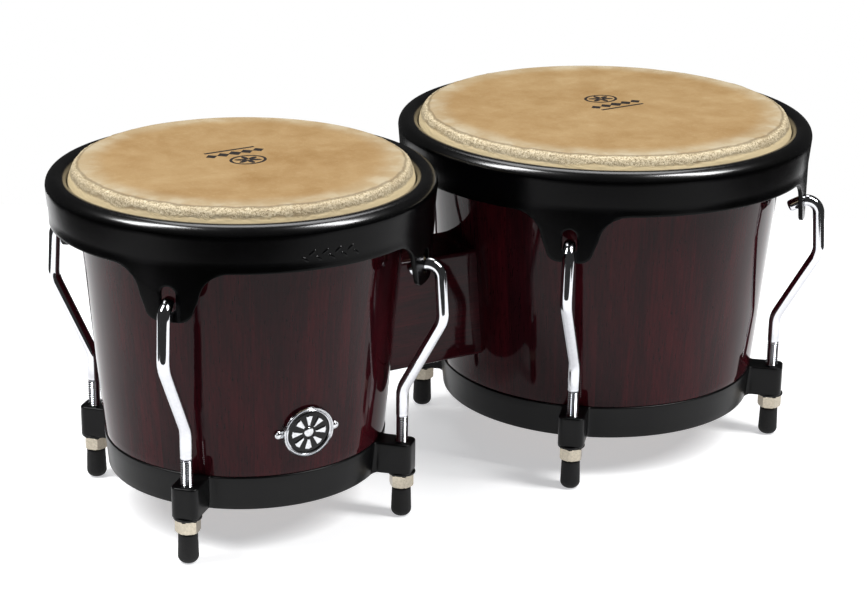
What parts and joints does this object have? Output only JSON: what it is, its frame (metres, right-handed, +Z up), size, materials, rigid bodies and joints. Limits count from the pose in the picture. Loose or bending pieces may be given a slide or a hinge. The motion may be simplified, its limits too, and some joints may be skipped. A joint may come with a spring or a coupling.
{
  "type": "bongo drums",
  "caption": "Pair of hand drums of different size on a shared centre block, with hooked tuning rods, rolled rims, skin heads and rubber feet.",
  "frame": {"origin": "middle of the footprint at floor level, under the pair's bounding box", "axes": "+X from the small drum to the large drum, +Y away from the player's side that carries the badge, +Z up along both drum axes"},
  "size_m": [0.4276, 0.2238, 0.1814],
  "materials": {
    "shell_lacquer": "glossy dark red-brown lacquer over wood",
    "block_lacquer": "glossy dark red-brown lacquer over wood",
    "black_powder_coat": "satin black powder coat on steel",
    "rim_black": "satin black powder coat on steel",
    "rawhide": "natural rawhide, matte",
    "hoop_steel": "plain steel wire",
    "chrome": "polished chrome",
    "nut_plate": "bright nickel plate",
    "washer_black": "blackened steel",
    "foot_rubber": "matte black rubber",
    "plate_steel": "zinc plated steel",
    "bolt_steel": "zinc plated steel",
    "badge_chrome": "polished chrome",
    "badge_enamel": "gloss black enamel"
  },
  "bodies": {
    "root": {"small_shell": "shell_lacquer", "small_bottom_ring": "black_powder_coat", "small_flesh_hoop": "hoop_steel", "small_head": "rawhide", "small_washers": "washer_black", "small_foot_1": "foot_rubber", "small_foot_2": "foot_rubber", "small_foot_3": "foot_rubber", "small_foot_4": "foot_rubber", "large_shell": "shell_lacquer", "large_bottom_ring": "black_powder_coat", "large_flesh_hoop": "hoop_steel", "large_head": "rawhide", "large_washers": "washer_black", "large_foot_1": "foot_rubber", "large_foot_2": "foot_rubber", "large_foot_3": "foot_rubber", "large_foot_4": "foot_rubber", "centre_block": "block_lacquer", "small_backing_plate": "plate_steel", "large_backing_plate": "plate_steel", "block_bolts": "bolt_steel", "block_bolt_nuts": "bolt_steel", "badge_plate": "badge_chrome", "badge_enamel": "badge_enamel", "badge_emblem": "badge_chrome", "badge_pins": "badge_chrome"},
    "small_rim_set": {"small_rim": "rim_black", "small_rod_1": "chrome", "small_rod_2": "chrome", "small_rod_3": "chrome", "small_rod_4": "chrome"},
    "small_nut_1_body": {"small_nut_1": "nut_plate"},
    "small_nut_2_body": {"small_nut_2": "nut_plate"},
    "small_nut_3_body": {"small_nut_3": "nut_plate"},
    "small_nut_4_body": {"small_nut_4": "nut_plate"},
    "large_rim_set": {"large_rim": "rim_black", "large_rod_1": "chrome", "large_rod_2": "chrome", "large_rod_3": "chrome", "large_rod_4": "chrome"},
    "large_nut_1_body": {"large_nut_1": "nut_plate"},
    "large_nut_2_body": {"large_nut_2": "nut_plate"},
    "large_nut_3_body": {"large_nut_3": "nut_plate"},
    "large_nut_4_body": {"large_nut_4": "nut_plate"}
  },
  "joints": [
    {"name": "small_tuning", "type": "slide", "parent": "root", "child": "small_rim_set", "axis": [0, 0, 1], "range_m": [0, 0.008]},
    {"name": "small_nut_1_turn", "type": "hinge", "parent": "root", "child": "small_nut_1_body", "pos_m": [-0.17703, -0.05805, 0.0196], "axis": [0, 0, 1], "range_deg": [-2270, 0.5]},
    {"name": "small_nut_2_turn", "type": "hinge", "parent": "root", "child": "small_nut_2_body", "pos_m": [-0.05855, -0.06043, 0.0196], "axis": [0, 0, 1], "range_deg": [-2270, 0.5]},
    {"name": "small_nut_3_turn", "type": "hinge", "parent": "root", "child": "small_nut_3_body", "pos_m": [-0.05617, 0.05805, 0.0196], "axis": [0, 0, 1], "range_deg": [-2270, 0.5]},
    {"name": "small_nut_4_turn", "type": "hinge", "parent": "root", "child": "small_nut_4_body", "pos_m": [-0.17465, 0.06043, 0.0196], "axis": [0, 0, 1], "range_deg": [-2270, 0.5]},
    {"name": "large_tuning", "type": "slide", "parent": "root", "child": "large_rim_set", "axis": [0, 0, 1], "range_m": [0, 0.008]},
    {"name": "large_nut_1_turn", "type": "hinge", "parent": "root", "child": "large_nut_1_body", "pos_m": [0.0367, -0.0737, 0.0196], "axis": [0, 0, 1], "range_deg": [-2270, 0.5]},
    {"name": "large_nut_2_turn", "type": "hinge", "parent": "root", "child": "large_nut_2_body", "pos_m": [0.1756, -0.0652, 0.0196], "axis": [0, 0, 1], "range_deg": [-2270, 0.5]},
    {"name": "large_nut_3_turn", "type": "hinge", "parent": "root", "child": "large_nut_3_body", "pos_m": [0.1671, 0.0737, 0.0196], "axis": [0, 0, 1], "range_deg": [-2270, 0.5]},
    {"name": "large_nut_4_turn", "type": "hinge", "parent": "root", "child": "large_nut_4_body", "pos_m": [0.0282, 0.0652, 0.0196], "axis": [0, 0, 1], "range_deg": [-2270, 0.5]}
  ],
  "couplings": [
    {"joint": "small_nut_1_turn", "follows": "small_tuning", "rad_per_m": -4947.4},
    {"joint": "small_nut_2_turn", "follows": "small_tuning", "rad_per_m": -4947.4},
    {"joint": "small_nut_3_turn", "follows": "small_tuning", "rad_per_m": -4947.4},
    {"joint": "small_nut_4_turn", "follows": "small_tuning", "rad_per_m": -4947.4},
    {"joint": "large_nut_1_turn", "follows": "large_tuning", "rad_per_m": -4947.4},
    {"joint": "large_nut_2_turn", "follows": "large_tuning", "rad_per_m": -4947.4},
    {"joint": "large_nut_3_turn", "follows": "large_tuning", "rad_per_m": -4947.4},
    {"joint": "large_nut_4_turn", "follows": "large_tuning", "rad_per_m": -4947.4}
  ]
}
